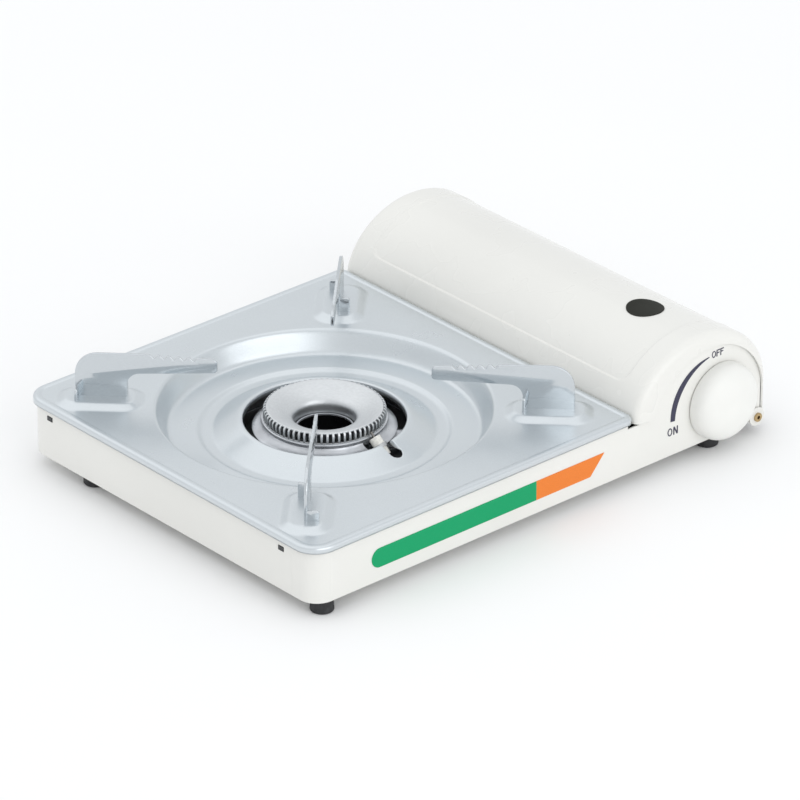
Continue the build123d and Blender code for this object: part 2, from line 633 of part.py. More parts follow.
with BuildPart() as gas_cover:
    extrude(arch(rim_back, 0), amount=rim_back - rim_front)
    fillet(end_edges(gas_cover.part, rim_front) + end_edges(gas_cover.part, rim_back), cover_end_r)
    add(cover_core.part, mode=Mode.SUBTRACT)
    # pressed panel: lowered outside, carried through inside
    extrude(arch(panel_y1, -3, low=panel_z) - arch(panel_y1, panel_depth, low=panel_z - 5),
            amount=panel_y1 - panel_y0, mode=Mode.SUBTRACT)
    extrude(arch(panel_y1 + 1, cover_sheet - 0.1, low=panel_z - 1)
            - arch(panel_y1 + 1, cover_sheet + panel_depth, low=panel_z - 6),
            amount=panel_y1 - panel_y0 + 2)
    # round openings in the end walls, then the ears for the rivets
    for y in (rim_front, rim_back - cover_sheet):
        with BuildSketch(xz(y + cover_sheet + 1)):
            with Locations((lip_x, lip_z)):
                Circle(lip_r)
                Rectangle(2 * lip_r, 2 * lip_r, align=(Align.CENTER, Align.MAX))
        extrude(amount=cover_sheet + 2, mode=Mode.SUBTRACT)
        with BuildSketch(xz(y + cover_sheet)):
            with Locations((hinge_x, hinge_z)):
                Circle(ear_r)
        extrude(amount=cover_sheet)
        with BuildSketch(xz(y + cover_sheet + 1)):
            with Locations((hinge_x, hinge_z)):
                Circle(rivet_r + running)
        extrude(amount=cover_sheet + 2, mode=Mode.SUBTRACT)
save(gas_cover, "gas_cover")

with BuildPart() as cover_badge:
    extrude(arch(badge_y + badge_r, panel_depth - 0.5, low=panel_z + 5)
            - arch(badge_y + badge_r, panel_depth, low=panel_z), amount=2 * badge_r)
    with Locations((badge_x, badge_y, cover_z + cover_b)):
        Cylinder(badge_r, 20, mode=Mode.INTERSECT)
save(cover_badge, "cover_badge")

for place, outer, inner, way in (("front", rim_front, wall_front + sheet, 1),
                                 ("rear", rim_back, wall_back - sheet, -1)):
    with BuildPart() as hinge_rivet:
        for y, length, radius in ((outer, -way * 1.3, 2.9), (outer, way * 4.2, rivet_r),
                                  (inner, way * 1.2, 2.8)):
            with BuildSketch(xz(y)):
                with Locations((hinge_x, hinge_z)):
                    Circle(radius)
            extrude(amount=-length)
        with BuildSketch(xz(outer + 10)):
            with Locations((hinge_x, hinge_z)):
                Circle(1.2)
        extrude(amount=20, mode=Mode.SUBTRACT)
    save(hinge_rivet, "hinge_rivet_" + place)

# ---- feet, clips, screws ----------------------------------------------------------------------
for place, (x, y) in feet_at.items():
    with BuildPart() as foot:
        with Locations((x, y, 0)):
            Cone(foot_r, foot_r - 0.6, foot_h, align=(Align.CENTER, Align.CENTER, Align.MIN))
        fillet(foot.edges().filter_by(GeomType.CIRCLE).sort_by(Axis.Z)[0], 1.0)
    save(foot, "foot_" + place)

with BuildPart() as tray_clips:
    for y in clip_at:
        box(wall_left + sheet, wall_left + sheet + 1.2, y - 6, y + 6, clip_z - 7, clip_z + 3)
        box(wall_left - 0.4, wall_left + sheet + 0.6, y - 2.2, y + 2.2, clip_z - 1.4, clip_z + 1.4)
save(tray_clips, "tray_clips")

with BuildPart() as base_screws:
    for x, y in screws_at:
        with Locations((x, y, floor_z)):
            Cylinder(3, screw_h, align=(Align.CENTER, Align.CENTER, Align.MAX))
        for turn_to in (0, 90):
            with Locations(Location((x, y, floor_z - screw_h), (0, 0, turn_to + 20))):
                Box(3.6, 0.9, 1.4, mode=Mode.SUBTRACT)
save(base_screws, "base_screws")

# ---- labels and printed scale on the front ----------------------------------------------------
with BuildPart() as front_label:
    with BuildSketch(xz(wall_front)):
        with Locations(((label_x0 + label_x1) / 2, label_z)):
            RectangleRounded(label_x1 - label_x0, label_h, label_h / 2 - 0.01)
        with Locations((label_x1, label_z)):
            Rectangle(20, label_h, align=(Align.MAX, Align.CENTER))
    extrude(amount=0.3)
save(front_label, "front_label")

with BuildPart() as rating_label:
    with BuildSketch(xz(wall_front)):
        with BuildLine():
            Polyline((label_x1, label_z - label_h / 2), (38.7, label_z - label_h / 2),
                     (50.2, label_z + label_h / 2), (label_x1, label_z + label_h / 2), close=True)
        make_face()
    extrude(amount=0.3)
save(rating_label, "rating_label")


def letter_o(x, z, h):
    """Outline of an O."""
    with Locations((x, z)):
        Ellipse(h * 0.36, h * 0.5)
        Ellipse(h * 0.24, h * 0.37, mode=Mode.SUBTRACT)


def letter_f(x, z, h):
    """Outline of an F."""
    for dx, dz, w, t in ((-0.24, 0, 0.15, 1.0), (0, 0.43, 0.6, 0.14), (-0.05, 0.04, 0.5, 0.13)):
        with Locations((x + dx * h, z + dz * h)):
            Rectangle(w * h, t * h)


def letter_n(x, z, h):
    """Outline of an N."""
    for dx in (-0.27, 0.27):
        with Locations((x + dx * h, z)):
            Rectangle(0.15 * h, h)
    Polygon((x - 0.34 * h, z + 0.5 * h), (x - 0.16 * h, z + 0.5 * h),
            (x + 0.34 * h, z - 0.5 * h), (x + 0.16 * h, z - 0.5 * h), align=None)


with BuildPart() as knob_scale:
    with BuildSketch(xz(wall_front)):
        with BuildLine():
            ThreePointArc((106.2, 32.6), (114.0, 55.2), (138.3, 66.9))
            Line((138.3, 66.9), (138.3, 66.5))
            ThreePointArc((138.3, 66.5), (117.9, 53.6), (109.8, 32.2))
            Line((109.8, 32.2), (106.2, 32.6))
        make_face()
        letter_o(142.2, 67.4, 4.6)
        letter_f(145.9, 67.4, 4.6)
        letter_f(149.2, 67.4, 4.6)
        letter_o(105.8, 25.6, 5.4)
        letter_n(110.6, 25.6, 5.4)
    extrude(amount=0.25)
save(knob_scale, "knob_scale")
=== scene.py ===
"""Looks of a portable gas stove, laid out as an add-on and run as a script."""
import json
from math import asin, atan2, cos, hypot, pi, radians, sin, sqrt, tan

import bmesh
import bpy
from bpy.props import FloatProperty, FloatVectorProperty, IntProperty, PointerProperty
from mathutils import Matrix, Vector

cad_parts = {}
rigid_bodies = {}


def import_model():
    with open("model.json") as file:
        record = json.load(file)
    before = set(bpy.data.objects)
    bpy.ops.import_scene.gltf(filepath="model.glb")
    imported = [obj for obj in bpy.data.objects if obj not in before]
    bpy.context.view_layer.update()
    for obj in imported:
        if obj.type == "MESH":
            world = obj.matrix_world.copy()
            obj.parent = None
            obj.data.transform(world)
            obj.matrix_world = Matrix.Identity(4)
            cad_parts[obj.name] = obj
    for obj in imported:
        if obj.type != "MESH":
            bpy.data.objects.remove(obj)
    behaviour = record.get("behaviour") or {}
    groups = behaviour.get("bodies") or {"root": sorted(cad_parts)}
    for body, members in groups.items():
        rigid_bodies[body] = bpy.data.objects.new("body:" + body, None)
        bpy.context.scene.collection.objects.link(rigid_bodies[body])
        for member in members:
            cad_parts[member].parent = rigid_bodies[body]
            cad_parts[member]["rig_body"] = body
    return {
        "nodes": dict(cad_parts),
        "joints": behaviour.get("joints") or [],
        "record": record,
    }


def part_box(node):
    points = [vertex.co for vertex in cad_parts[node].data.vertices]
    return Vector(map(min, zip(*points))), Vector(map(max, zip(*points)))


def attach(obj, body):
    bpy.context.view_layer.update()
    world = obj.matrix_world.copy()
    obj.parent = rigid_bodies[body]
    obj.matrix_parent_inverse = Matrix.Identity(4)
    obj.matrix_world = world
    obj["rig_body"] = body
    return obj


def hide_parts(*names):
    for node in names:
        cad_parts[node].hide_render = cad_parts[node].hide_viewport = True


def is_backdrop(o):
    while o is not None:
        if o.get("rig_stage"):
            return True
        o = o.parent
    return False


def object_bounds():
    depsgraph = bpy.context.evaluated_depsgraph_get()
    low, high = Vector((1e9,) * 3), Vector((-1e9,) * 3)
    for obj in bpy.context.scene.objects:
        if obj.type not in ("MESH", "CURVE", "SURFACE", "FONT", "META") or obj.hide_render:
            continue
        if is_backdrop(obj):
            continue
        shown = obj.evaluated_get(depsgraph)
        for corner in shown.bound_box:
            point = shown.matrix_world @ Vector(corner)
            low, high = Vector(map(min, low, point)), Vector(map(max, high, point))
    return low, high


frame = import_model()

bl_info = {
    "name": "Portable Gas Stove",
    "version": (1, 0, 0),
    "blender": (4, 5, 0),
    "location": "View3D > Sidebar > Stove",
    "description": "Builds the looks of a portable gas stove around its fixed frame",
    "category": "Object",
}

MM = 0.001


def middle(node):
    """Centre of a node's box."""
    low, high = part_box(node)
    return (low + high) / 2


BURNER = middle("burner_cap")
RIM_LOW, RIM_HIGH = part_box("drip_tray")
COVER_LOW, COVER_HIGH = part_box("gas_cover")
KNOB_LOW, KNOB_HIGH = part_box("knob")
HINGE = Vector(next(j for j in frame["joints"] if j["name"] == "cover_hinge")["pos_m"])

# painted shade: a near-black colour painted inside the throat under the neck of the burner cap, where
# the deep hole lies in shade
THROAT_RADIUS, THROAT_TOP = 18.6 * MM, 32 * MM

# plinths under the pan supports: distance from the burner, length, width and run of the slope
PLINTH_AT, PLINTH_LONG, PLINTH_WIDE, PLINTH_RUN = 138.5 * MM, 54 * MM, 32 * MM, 5.4 * MM

# electrode notch in the edge of the burner hole
NOTCH_ANGLE, NOTCH_AT, NOTCH_RADIUS = radians(-84), 58.5 * MM, 5 * MM

# dish of the tray: radius and height from the flat, in millimetres
DISH_PROFILE = (
    (50.5, -7.3), (52.6, -7.3), (54.6, -8.1), (69.5, -15.9), (75.8, -15.9), (77.2, -15.5), (78.6, -14.4),
    (95.2, -14.4), (97.0, -13.9), (98.4, -12.3), (103.6, -0.9), (104.8, -0.1), (106, 0))

# rim of the tray: distance inwards from its edge and height from the flat, in millimetres
RIM_PROFILE = (
    (5.6, 0.0), (5.2, 0.03), (4.8, 0.13), (4.4, 0.32), (4.0, 0.45), (3.4, 0.5), (2.7, 0.5), (2.0, 0.5),
    (1.32, 0.38), (0.71, 0.03), (0.27, -0.5), (0.07, -0.98), (0.0, -1.5), (0.0, -2.7), (0.0, -3.9))

# gas cover: height of its left edge and centre of its round openings
COVER_LEFT_EDGE = 41.5 * MM
OPENING = Vector((COVER_HIGH.x - 50 * MM, HINGE.z + 15.5 * MM))

# pressed panel: distances from the cover's front and rear, height of its foot, width of its step
PANEL_FROM, PANEL_TO, PANEL_FOOT, PANEL_STEP = 18.5 * MM, 17.5 * MM, 60.5 * MM, 0.9 * MM

# pan supports: place, direction from the burner in degrees, and rounding of their sheared edges
SUPPORTS = (("rear_right", 45), ("rear_left", 135), ("front_left", 225), ("front_right", 315))
SHEARED_EDGE = 0.28 * MM

AIM_POINT = Vector((0.0037, 0.0079, 0.0299))


# ---- sizes and colours ------------------------------------------------------------------------
class TraySizes(bpy.types.PropertyGroup):
    """Sizes of the drip tray."""

    flat_drop: FloatProperty(
        name="Flat Below Rim", description="How far the flat lies below the top of the rim",
        default=0.5 * MM, unit="LENGTH")
    rim_width: FloatProperty(
        name="Rim Width", description="Width of the raised rim", default=5.6 * MM, unit="LENGTH")
    big_corner: FloatProperty(
        name="Large Corner", description="Radius of the rim's corners on the burner side",
        default=16 * MM, unit="LENGTH")
    small_corner: FloatProperty(
        name="Small Corner", description="Radius of the rim's corners beside the gas cover",
        default=6.5 * MM, unit="LENGTH")
    dish_radius: FloatProperty(
        name="Dish Radius", description="Radius of the stepped dish round the burner",
        default=106 * MM, unit="LENGTH")
    hole_radius: FloatProperty(
        name="Hole Radius", description="Radius of the burner hole", default=50.5 * MM, unit="LENGTH")
    plinth_height: FloatProperty(
        name="Plinth Height", description="Height of the raised plinths under the pan supports",
        default=3.1 * MM, unit="LENGTH")
    thickness: FloatProperty(
        name="Thickness", description="Sheet thickness", default=0.8 * MM, unit="LENGTH")


class CoverSizes(bpy.types.PropertyGroup):
    """Sizes of the gas cover."""

    half_width: FloatProperty(
        name="Half Width", description="Half width of the arch", default=56 * MM, unit="LENGTH")
    rise: FloatProperty(
        name="Rise", description="Height of the arch over its centre", default=47.5 * MM, unit="LENGTH")
    end_radius: FloatProperty(
        name="End Rounding", description="Rounding of the two ends", default=5.5 * MM, unit="LENGTH")
    opening_radius: FloatProperty(
        name="Opening Radius", description="Radius of the round openings in the ends",
        default=47.5 * MM, unit="LENGTH")
    panel_depth: FloatProperty(
        name="Panel Depth", description="How deep the pressed panel lies",
        default=0.7 * MM, unit="LENGTH")
    panel_corner: FloatProperty(
        name="Panel Corner", description="Radius of the pressed panel's corners",
        default=10 * MM, unit="LENGTH")
    thickness: FloatProperty(
        name="Thickness", description="Sheet thickness", default=1.2 * MM, unit="LENGTH")


class BurnerSizes(bpy.types.PropertyGroup):
    """Sizes of the burner and of the pan supports."""

    cap_radius: FloatProperty(
        name="Cap Radius", description="Outer radius of the burner cap",
        default=38.3 * MM, unit="LENGTH")
    well_radius: FloatProperty(
        name="Well Radius", description="Radius of the opening in the cap",
        default=19.2 * MM, unit="LENGTH")
    ports: IntProperty(name="Ports", description="Flame slots round the burner", default=66)
    blade_thickness: FloatProperty(
        name="Blade Thickness", description="Sheet thickness of the pan supports",
        default=2 * MM, unit="LENGTH")


class StoveColours(bpy.types.PropertyGroup):
    """Colours of the finishes."""

    enamel: FloatVectorProperty(
        name="Enamel", description="Body and cover", subtype="COLOR", default=(0.80, 0.795, 0.76))
    tray: FloatVectorProperty(
        name="Tray", description="Satin coating of the drip tray", subtype="COLOR",
        default=(0.65, 0.69, 0.715))
    steel: FloatVectorProperty(
        name="Steel", description="Pan supports", subtype="COLOR", default=(0.60, 0.635, 0.66))
    burner: FloatVectorProperty(
        name="Burner", description="Burner cap and slots", subtype="COLOR", default=(0.66, 0.68, 0.695))
    knob: FloatVectorProperty(
        name="Knob", description="Control knob", subtype="COLOR", default=(0.82, 0.82, 0.79))
    green: FloatVectorProperty(
        name="Green Label", description="Long front label", subtype="COLOR",
        default=(0.0015, 0.34, 0.13))
    orange: FloatVectorProperty(
        name="Orange Label", description="Slanted end of the front label", subtype="COLOR",
        default=(0.82, 0.22, 0.035))
    badge: FloatVectorProperty(
        name="Badge", description="Plain round badge on the cover", subtype="COLOR",
        default=(0.016, 0.017, 0.012))
    ink: FloatVectorProperty(
        name="Ink", description="Printed scale by the knob", subtype="COLOR",
        default=(0.055, 0.055, 0.09))


class StageSettings(bpy.types.PropertyGroup):
    """Camera and light."""

    azimuth: FloatProperty(
        name="Azimuth", description="Camera's turn to the left of the front", subtype="ANGLE",
        default=radians(41.38))
    elevation: FloatProperty(
        name="Elevation", description="Camera's height angle", subtype="ANGLE", default=radians(27.68))
    distance: FloatProperty(
        name="Distance", description="Camera to the stove", default=4.195, unit="LENGTH")
    lens: FloatProperty(
        name="Lens", description="Focal length on a 36 mm sensor, in millimetres", default=303.3)
    key: FloatProperty(name="Key Light", description="Strength of the front light", default=28.0)
    top: FloatProperty(name="Top Light", description="Strength of the overhead light", default=17.0)
    sky: FloatProperty(name="Surround", description="Strength of the even surround", default=0.90)


# ---- materials --------------------------------------------------------------------------------
def start_material(name, color, metallic=0.0, roughness=0.5, coat=0.0):
    """A node material with its main values set on the shader."""
    material = bpy.data.materials.new(name)
    material.use_nodes = True
    shader = material.node_tree.nodes["Principled BSDF"]
    shader.inputs["Base Color"].default_value = (*color, 1.0)
    shader.inputs["Metallic"].default_value = metallic
    shader.inputs["Roughness"].default_value = roughness
    shader.inputs["Coat Weight"].default_value = coat
    shader.inputs["Coat Roughness"].default_value = 0.12
    return material, material.node_tree, shader


def noise(tree, scale, detail=2.0, stretch=(1.0, 1.0, 1.0)):
    """Noise over the object's own coordinates, in features per metre."""
    coordinates = tree.nodes.new("ShaderNodeTexCoord")
    mapping = tree.nodes.new("ShaderNodeMapping")
    mapping.inputs["Scale"].default_value = stretch
    texture = tree.nodes.new("ShaderNodeTexNoise")
    texture.inputs["Scale"].default_value = scale
    texture.inputs["Detail"].default_value = detail
    tree.links.new(coordinates.outputs["Object"], mapping.inputs["Vector"])
    tree.links.new(mapping.outputs["Vector"], texture.inputs["Vector"])
    return texture.outputs["Fac"]


def two_tone(tree, shader, factor, dark, light, low=0.3, high=0.7):
    """Colour that wanders between two tones."""
    ramp = tree.nodes.new("ShaderNodeValToRGB")
    ramp.color_ramp.elements[0].position = low
    ramp.color_ramp.elements[0].color = (*dark, 1.0)
    ramp.color_ramp.elements[1].position = high
    ramp.color_ramp.elements[1].color = (*light, 1.0)
    tree.links.new(factor, ramp.inputs["Fac"])
    tree.links.new(ramp.outputs["Color"], shader.inputs["Base Color"])


def vary_roughness(tree, shader, factor, low, high):
    """Roughness that wanders between two values."""
    spread = tree.nodes.new("ShaderNodeMapRange")
    spread.inputs["From Min"].default_value = 0.3
    spread.inputs["From Max"].default_value = 0.7
    spread.inputs["To Min"].default_value = low
    spread.inputs["To Max"].default_value = high
    tree.links.new(factor, spread.inputs["Value"])
    tree.links.new(spread.outputs["Result"], shader.inputs["Roughness"])


def relief(tree, shader, factor, strength, depth):
    """Fine surface relief, depth in metres."""
    bump = tree.nodes.new("ShaderNodeBump")
    bump.inputs["Strength"].default_value = strength
    bump.inputs["Distance"].default_value = depth
    tree.links.new(factor, bump.inputs["Height"])
    tree.links.new(bump.outputs["Normal"], shader.inputs["Normal"])


def shade(color, amount):
    """A colour made lighter or darker."""
    return tuple(min(1.0, max(0.0, c * amount)) for c in color)


def enamel(name, color, roughness=0.30):
    """Baked enamel on sheet steel: slight orange peel, faint tone drift."""
    material, tree, shader = start_material(name, color, roughness=roughness, coat=0.25)
    two_tone(tree, shader, noise(tree, 9, 3), shade(color, 0.965), shade(color, 1.02))
    vary_roughness(tree, shader, noise(tree, 30, 2), roughness - 0.02, roughness + 0.04)
    relief(tree, shader, noise(tree, 900, 2), 0.05, 0.00003)
    return material


def silver_coat(name, color):
    """Satin silver coating with a fine metal flake and faint handling marks."""
    material, tree, shader = start_material(name, color, metallic=0.90, roughness=0.30)
    two_tone(tree, shader, noise(tree, 2600, 2), shade(color, 0.95), shade(color, 1.04))
    vary_roughness(tree, shader, noise(tree, 38, 5), 0.27, 0.34)
    relief(tree, shader, noise(tree, 1500, 2), 0.12, 0.0001)
    return material


def rolled_steel(name, color, roughness=0.34, stretch=(1.0, 1.0, 14.0)):
    """Stainless sheet with a rolled grain and softly rubbed tone."""
    material, tree, shader = start_material(name, color, metallic=1.0, roughness=roughness)
    grain = noise(tree, 420, 4, stretch)
    two_tone(tree, shader, grain, shade(color, 0.95), shade(color, 1.04))
    vary_roughness(tree, shader, noise(tree, 70, 5), roughness - 0.04, roughness + 0.06)
    relief(tree, shader, grain, 0.05, 0.00005)
    return material


def cast_metal(name, color, roughness=0.52):
    """Cast metal with a pebbly skin."""
    material, tree, shader = start_material(name, color, metallic=0.85, roughness=roughness)
    two_tone(tree, shader, noise(tree, 60, 6), shade(color, 0.82), shade(color, 1.08))
    vary_roughness(tree, shader, noise(tree, 160, 4), roughness - 0.08, roughness + 0.14)
    relief(tree, shader, noise(tree, 850, 4), 0.35, 0.0002)
    return material


def paint_throat_shade(material):
    """Paint shade into the burner's throat, below the neck of its cap: near black where the deep hole
    lies in shade.
    """
    tree = material.node_tree
    shader = tree.nodes["Principled BSDF"]
    color = shader.inputs["Base Color"].links[0].from_socket
    place = tree.nodes.new("ShaderNodeTexCoord")
    parts = tree.nodes.new("ShaderNodeSeparateXYZ")
    tree.links.new(place.outputs["Object"], parts.inputs[0])

    def measure(kind, first, second, third=0.0):
        """Output of a math node fed with numbers or sockets."""
        node = tree.nodes.new("ShaderNodeMath")
        node.operation = kind
        for socket, value in zip(node.inputs, (first, second, third)):
            if isinstance(value, float):
                socket.default_value = value
            else:
                tree.links.new(value, socket)
        return node.outputs[0]

    x = measure("SUBTRACT", parts.outputs["X"], BURNER.x)
    y = measure("SUBTRACT", parts.outputs["Y"], BURNER.y)
    squared = measure("MULTIPLY_ADD", x, x, measure("POWER", y, 2.0))
    near = measure("LESS_THAN", measure("SQRT", squared, 0.0), THROAT_RADIUS)
    low = measure("LESS_THAN", parts.outputs["Z"], THROAT_TOP)
    mix = tree.nodes.new("ShaderNodeMix")
    mix.data_type = "RGBA"
    # painted shade: near-black colour for the shaded throat
    mix.inputs["B"].default_value = (0.012, 0.012, 0.013, 1)
    tree.links.new(measure("MULTIPLY", near, low), mix.inputs["Factor"])
    tree.links.new(color, mix.inputs["A"])
    tree.links.new(mix.outputs["Result"], shader.inputs["Base Color"])
    return material


def turned_brass(name, color):
    """Turned or pressed brass, dulled in places."""
    material, tree, shader = start_material(name, color, metallic=1.0, roughness=0.28)
    two_tone(tree, shader, noise(tree, 130, 5), shade(color, 0.62), shade(color, 1.1))
    vary_roughness(tree, shader, noise(tree, 300, 3), 0.20, 0.42)
    relief(tree, shader, noise(tree, 1400, 3), 0.10, 0.00008)
    return material


def moulded_plastic(name, color, roughness=0.34, texture=0.10):
    """Moulded plastic with a fine spark-eroded texture."""
    material, tree, shader = start_material(name, color, roughness=roughness)
    two_tone(tree, shader, noise(tree, 22, 3), shade(color, 0.96), shade(color, 1.03))
    vary_roughness(tree, shader, noise(tree, 60, 4), roughness - 0.04, roughness + 0.08)
    relief(tree, shader, noise(tree, 1700, 2), texture, 0.0001)
    return material


def rubber(name, color):
    """Matt rubber with a dusty, slightly uneven skin."""
    material, tree, shader = start_material(name, color, roughness=0.78)
    two_tone(tree, shader, noise(tree, 140, 5), shade(color, 0.75), shade(color, 1.25))
    vary_roughness(tree, shader, noise(tree, 260, 3), 0.68, 0.90)
    relief(tree, shader, noise(tree, 1100, 3), 0.30, 0.00015)
    return material


def printed_film(name, color, roughness=0.36):
    """Printed label film: even ink with a very fine print grain."""
    material, tree, shader = start_material(name, color, roughness=roughness)
    shader.inputs["Specular IOR Level"].default_value = 0.2
    two_tone(tree, shader, noise(tree, 1800, 2), shade(color, 0.94), shade(color, 1.05))
    vary_roughness(tree, shader, noise(tree, 50, 3), roughness - 0.05, roughness + 0.07)
    relief(tree, shader, noise(tree, 600, 2), 0.05, 0.00008)
    return material


def woven_sleeve(name, color):
    """Woven heat-proof sleeve: crossing ribs."""
    material, tree, shader = start_material(name, color, roughness=0.82)
    coordinates = tree.nodes.new("ShaderNodeTexCoord")
    ribs = tree.nodes.new("ShaderNodeTexWave")
    ribs.wave_type = "BANDS"
    ribs.bands_direction = "DIAGONAL"
    ribs.inputs["Scale"].default_value = 330
    ribs.inputs["Distortion"].default_value = 1.5
    tree.links.new(coordinates.outputs["Object"], ribs.inputs["Vector"])
    two_tone(tree, shader, ribs.outputs["Fac"], shade(color, 0.7), shade(color, 1.1))
    relief(tree, shader, ribs.outputs["Fac"], 0.6, 0.0002)
    return material


def glazed_ceramic(name, color):
    """Glazed ceramic with faint speckle."""
    material, tree, shader = start_material(name, color, roughness=0.16, coat=0.6)
    two_tone(tree, shader, noise(tree, 700, 3), shade(color, 0.90), shade(color, 1.03), 0.42, 0.55)
    vary_roughness(tree, shader, noise(tree, 90, 3), 0.12, 0.24)
    return material


FINISHES = {}


def finishes():
    """All materials by the record's slot names, made once."""
    if FINISHES:
        return FINISHES
    colours = bpy.context.scene.stove_colours
    FINISHES.update({
        "body_enamel": enamel("body_enamel", colours.enamel),
        "cover_enamel": enamel("cover_enamel", shade(colours.enamel, 0.985), 0.27),
        "tray_steel": silver_coat("tray_steel", colours.tray),
        "support_steel": rolled_steel("support_steel", colours.steel, 0.13),
        "burner_steel": rolled_steel("burner_steel", colours.burner, 0.40, (1.0, 1.0, 5.0)),
        # burner alloy with painted shade in its throat
        "burner_alloy": paint_throat_shade(cast_metal("burner_alloy", (0.60, 0.62, 0.65), 0.34)),
        "zinc_sheet": rolled_steel("zinc_sheet", (0.50, 0.51, 0.52), 0.42, (9.0, 1.0, 1.0)),
        "screw_zinc": rolled_steel("screw_zinc", (0.48, 0.48, 0.48), 0.30),
        "clip_steel": rolled_steel("clip_steel", (0.09, 0.092, 0.095), 0.36),
        "electrode_steel": rolled_steel("electrode_steel", (0.24, 0.23, 0.22), 0.40),
        "insulator_white": glazed_ceramic("insulator_white", (0.80, 0.79, 0.74)),
        "jet_brass": turned_brass("jet_brass", (0.66, 0.48, 0.20)),
        "rivet_brass": turned_brass("rivet_brass", (0.52, 0.38, 0.20)),
        "regulator_alloy": cast_metal("regulator_alloy", (0.42, 0.43, 0.44)),
        "magnet_black": moulded_plastic("magnet_black", (0.045, 0.045, 0.05), 0.55, 0.25),
        "igniter_plastic": moulded_plastic("igniter_plastic", (0.035, 0.035, 0.04), 0.48, 0.2),
        "cam_plastic": moulded_plastic("cam_plastic", (0.14, 0.14, 0.15), 0.50, 0.2),
        "knob_plastic": moulded_plastic("knob_plastic", colours.knob, 0.36, 0.05),
        "wire_sleeve": woven_sleeve("wire_sleeve", (0.62, 0.60, 0.54)),
        "seal_rubber": rubber("seal_rubber", (0.03, 0.03, 0.03)),
        "foot_rubber": rubber("foot_rubber", (0.03, 0.03, 0.032)),
        "badge_black": printed_film("badge_black", colours.badge, 0.6),
        "label_green": printed_film("label_green", colours.green),
        "label_orange": printed_film("label_orange", colours.orange),
        "scale_ink": printed_film("scale_ink", colours.ink, 0.5),
    })
    return FINISHES


def slot_name(node):
    """The record's material slot of a node."""
    for entry in frame["record"]["subparts"]:
        if entry["node"] == node:
            return entry["material_slot"]
    raise RuntimeError("no material slot for " + node)


def finish_node(node):
    """Give a frame node the finish of its slot."""
    material = finishes()[slot_name(node)]
    for slot in frame["nodes"][node].material_slots:
        slot.material = material


# ---- mesh helpers -----------------------------------------------------------------------------
def add_piece(name, mesh, node, sharp=40.0):
    """Put a mesh in the scene in place of a frame node, on that node's body."""
    mesh.validate()
    for face in mesh.polygons:
        face.use_smooth = True
    mesh.set_sharp_from_angle(angle=radians(sharp))
    piece = bpy.data.objects.new(name, mesh)
    bpy.context.scene.collection.objects.link(piece)
    mesh.materials.append(finishes()[slot_name(node)])
    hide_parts(node)
    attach(piece, frame["nodes"][node]["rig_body"])
    return piece


def grid_faces(rows, columns, closed):
    """Faces between rows of points; closed joins the last column to the first."""
    faces = []
    for i in range(rows - 1):
        for j in range(columns if closed else columns - 1):
            k = (j + 1) % columns
            low, high = i * columns, (i + 1) * columns
            faces.append((low + j, low + k, high + k, high + j))
    return faces


def mesh_from(name, points, faces, weld=1e-6):
    """Mesh with doubled points merged and its faces turned outwards."""
    mesh = bpy.data.meshes.new(name)
    mesh.from_pydata([tuple(p) for p in points], [], faces)
    work = bmesh.new()
    work.from_mesh(mesh)
    bmesh.ops.remove_doubles(work, verts=work.verts, dist=weld)
    bmesh.ops.recalc_face_normals(work, faces=work.faces)
    work.to_mesh(mesh)
    work.free()
    return mesh


def metres(profile):
    """A profile given in millimetres, in metres."""
    return [(a * MM, b * MM) for a, b in profile]


def turned(name, profile, centre, steps=144, upright=True):
    """Mesh of a closed profile of (radius, height) turned about an upright or a front axis."""
    points = []
    for radius, height in profile:
        for j in range(steps):
            a = 2 * pi * j / steps
            if upright:
                points.append((centre.x + radius * cos(a), centre.y + radius * sin(a), height))
            else:
                points.append((centre.x + radius * cos(a), height, centre.z + radius * sin(a)))
    count = len(profile)
    faces = grid_faces(count, steps, True)
    faces += [((count - 1) * steps + j, (count - 1) * steps + (j + 1) % steps, (j + 1) % steps, j)
              for j in range(steps)]
    return mesh_from(name, points, faces)


def soften(corners, radius, steps=4):
    """Closed outline with each corner rounded by up to radius."""
    result = []
    count = len(corners)
    for i in range(count):
        here, before, after = (Vector(corners[k]) for k in (i, i - 1, (i + 1) % count))
        to_before, to_after = before - here, after - here
        turn = pi - to_before.angle(to_after)
        if turn < radians(8):
            result.append(tuple(here))
            continue
        reach = min(radius * tan(turn / 2), 0.45 * to_before.length, 0.45 * to_after.length)
        start, end = here + to_before.normalized() * reach, here + to_after.normalized() * reach
        for k in range(steps + 1):
            t = k / steps
            point = start * (1 - t) ** 2 + here * 2 * t * (1 - t) + end * t ** 2
            result.append(tuple(point))
    return result


def plate_mesh(name, outline, thickness, place, edge):
    """Flat plate of a 2-D outline, set by a matrix, with rounded edges."""
    work = bmesh.new()
    ring = [work.verts.new((x, y, -thickness / 2)) for x, y in outline]
    face = work.faces.new(ring)
    grown = bmesh.ops.extrude_face_region(work, geom=[face])["geom"]
    lifted = [g for g in grown if isinstance(g, bmesh.types.BMVert)]
    bmesh.ops.translate(work, vec=(0, 0, thickness), verts=lifted)
    rims = [e for e in work.edges if abs(e.verts[0].co.z - e.verts[1].co.z) < 1e-7]
    bmesh.ops.bevel(work, geom=rims, offset=edge, segments=2, profile=0.5, affect="EDGES")
    bmesh.ops.recalc_face_normals(work, faces=work.faces)
    bmesh.ops.transform(work, matrix=place, verts=work.verts)
    mesh = bpy.data.meshes.new(name)
    work.to_mesh(mesh)
    work.free()
    return mesh


def joined(name, meshes):
    """One mesh out of several."""
    work = bmesh.new()
    for part in meshes:
        work.from_mesh(part)
        bpy.data.meshes.remove(part)
    mesh = bpy.data.meshes.new(name)
    work.to_mesh(mesh)
    work.free()
    return mesh


def step(t):
    """Smooth rise from 0 to 1."""
    t = min(1.0, max(0.0, t))
    return t * t * (3 - 2 * t)


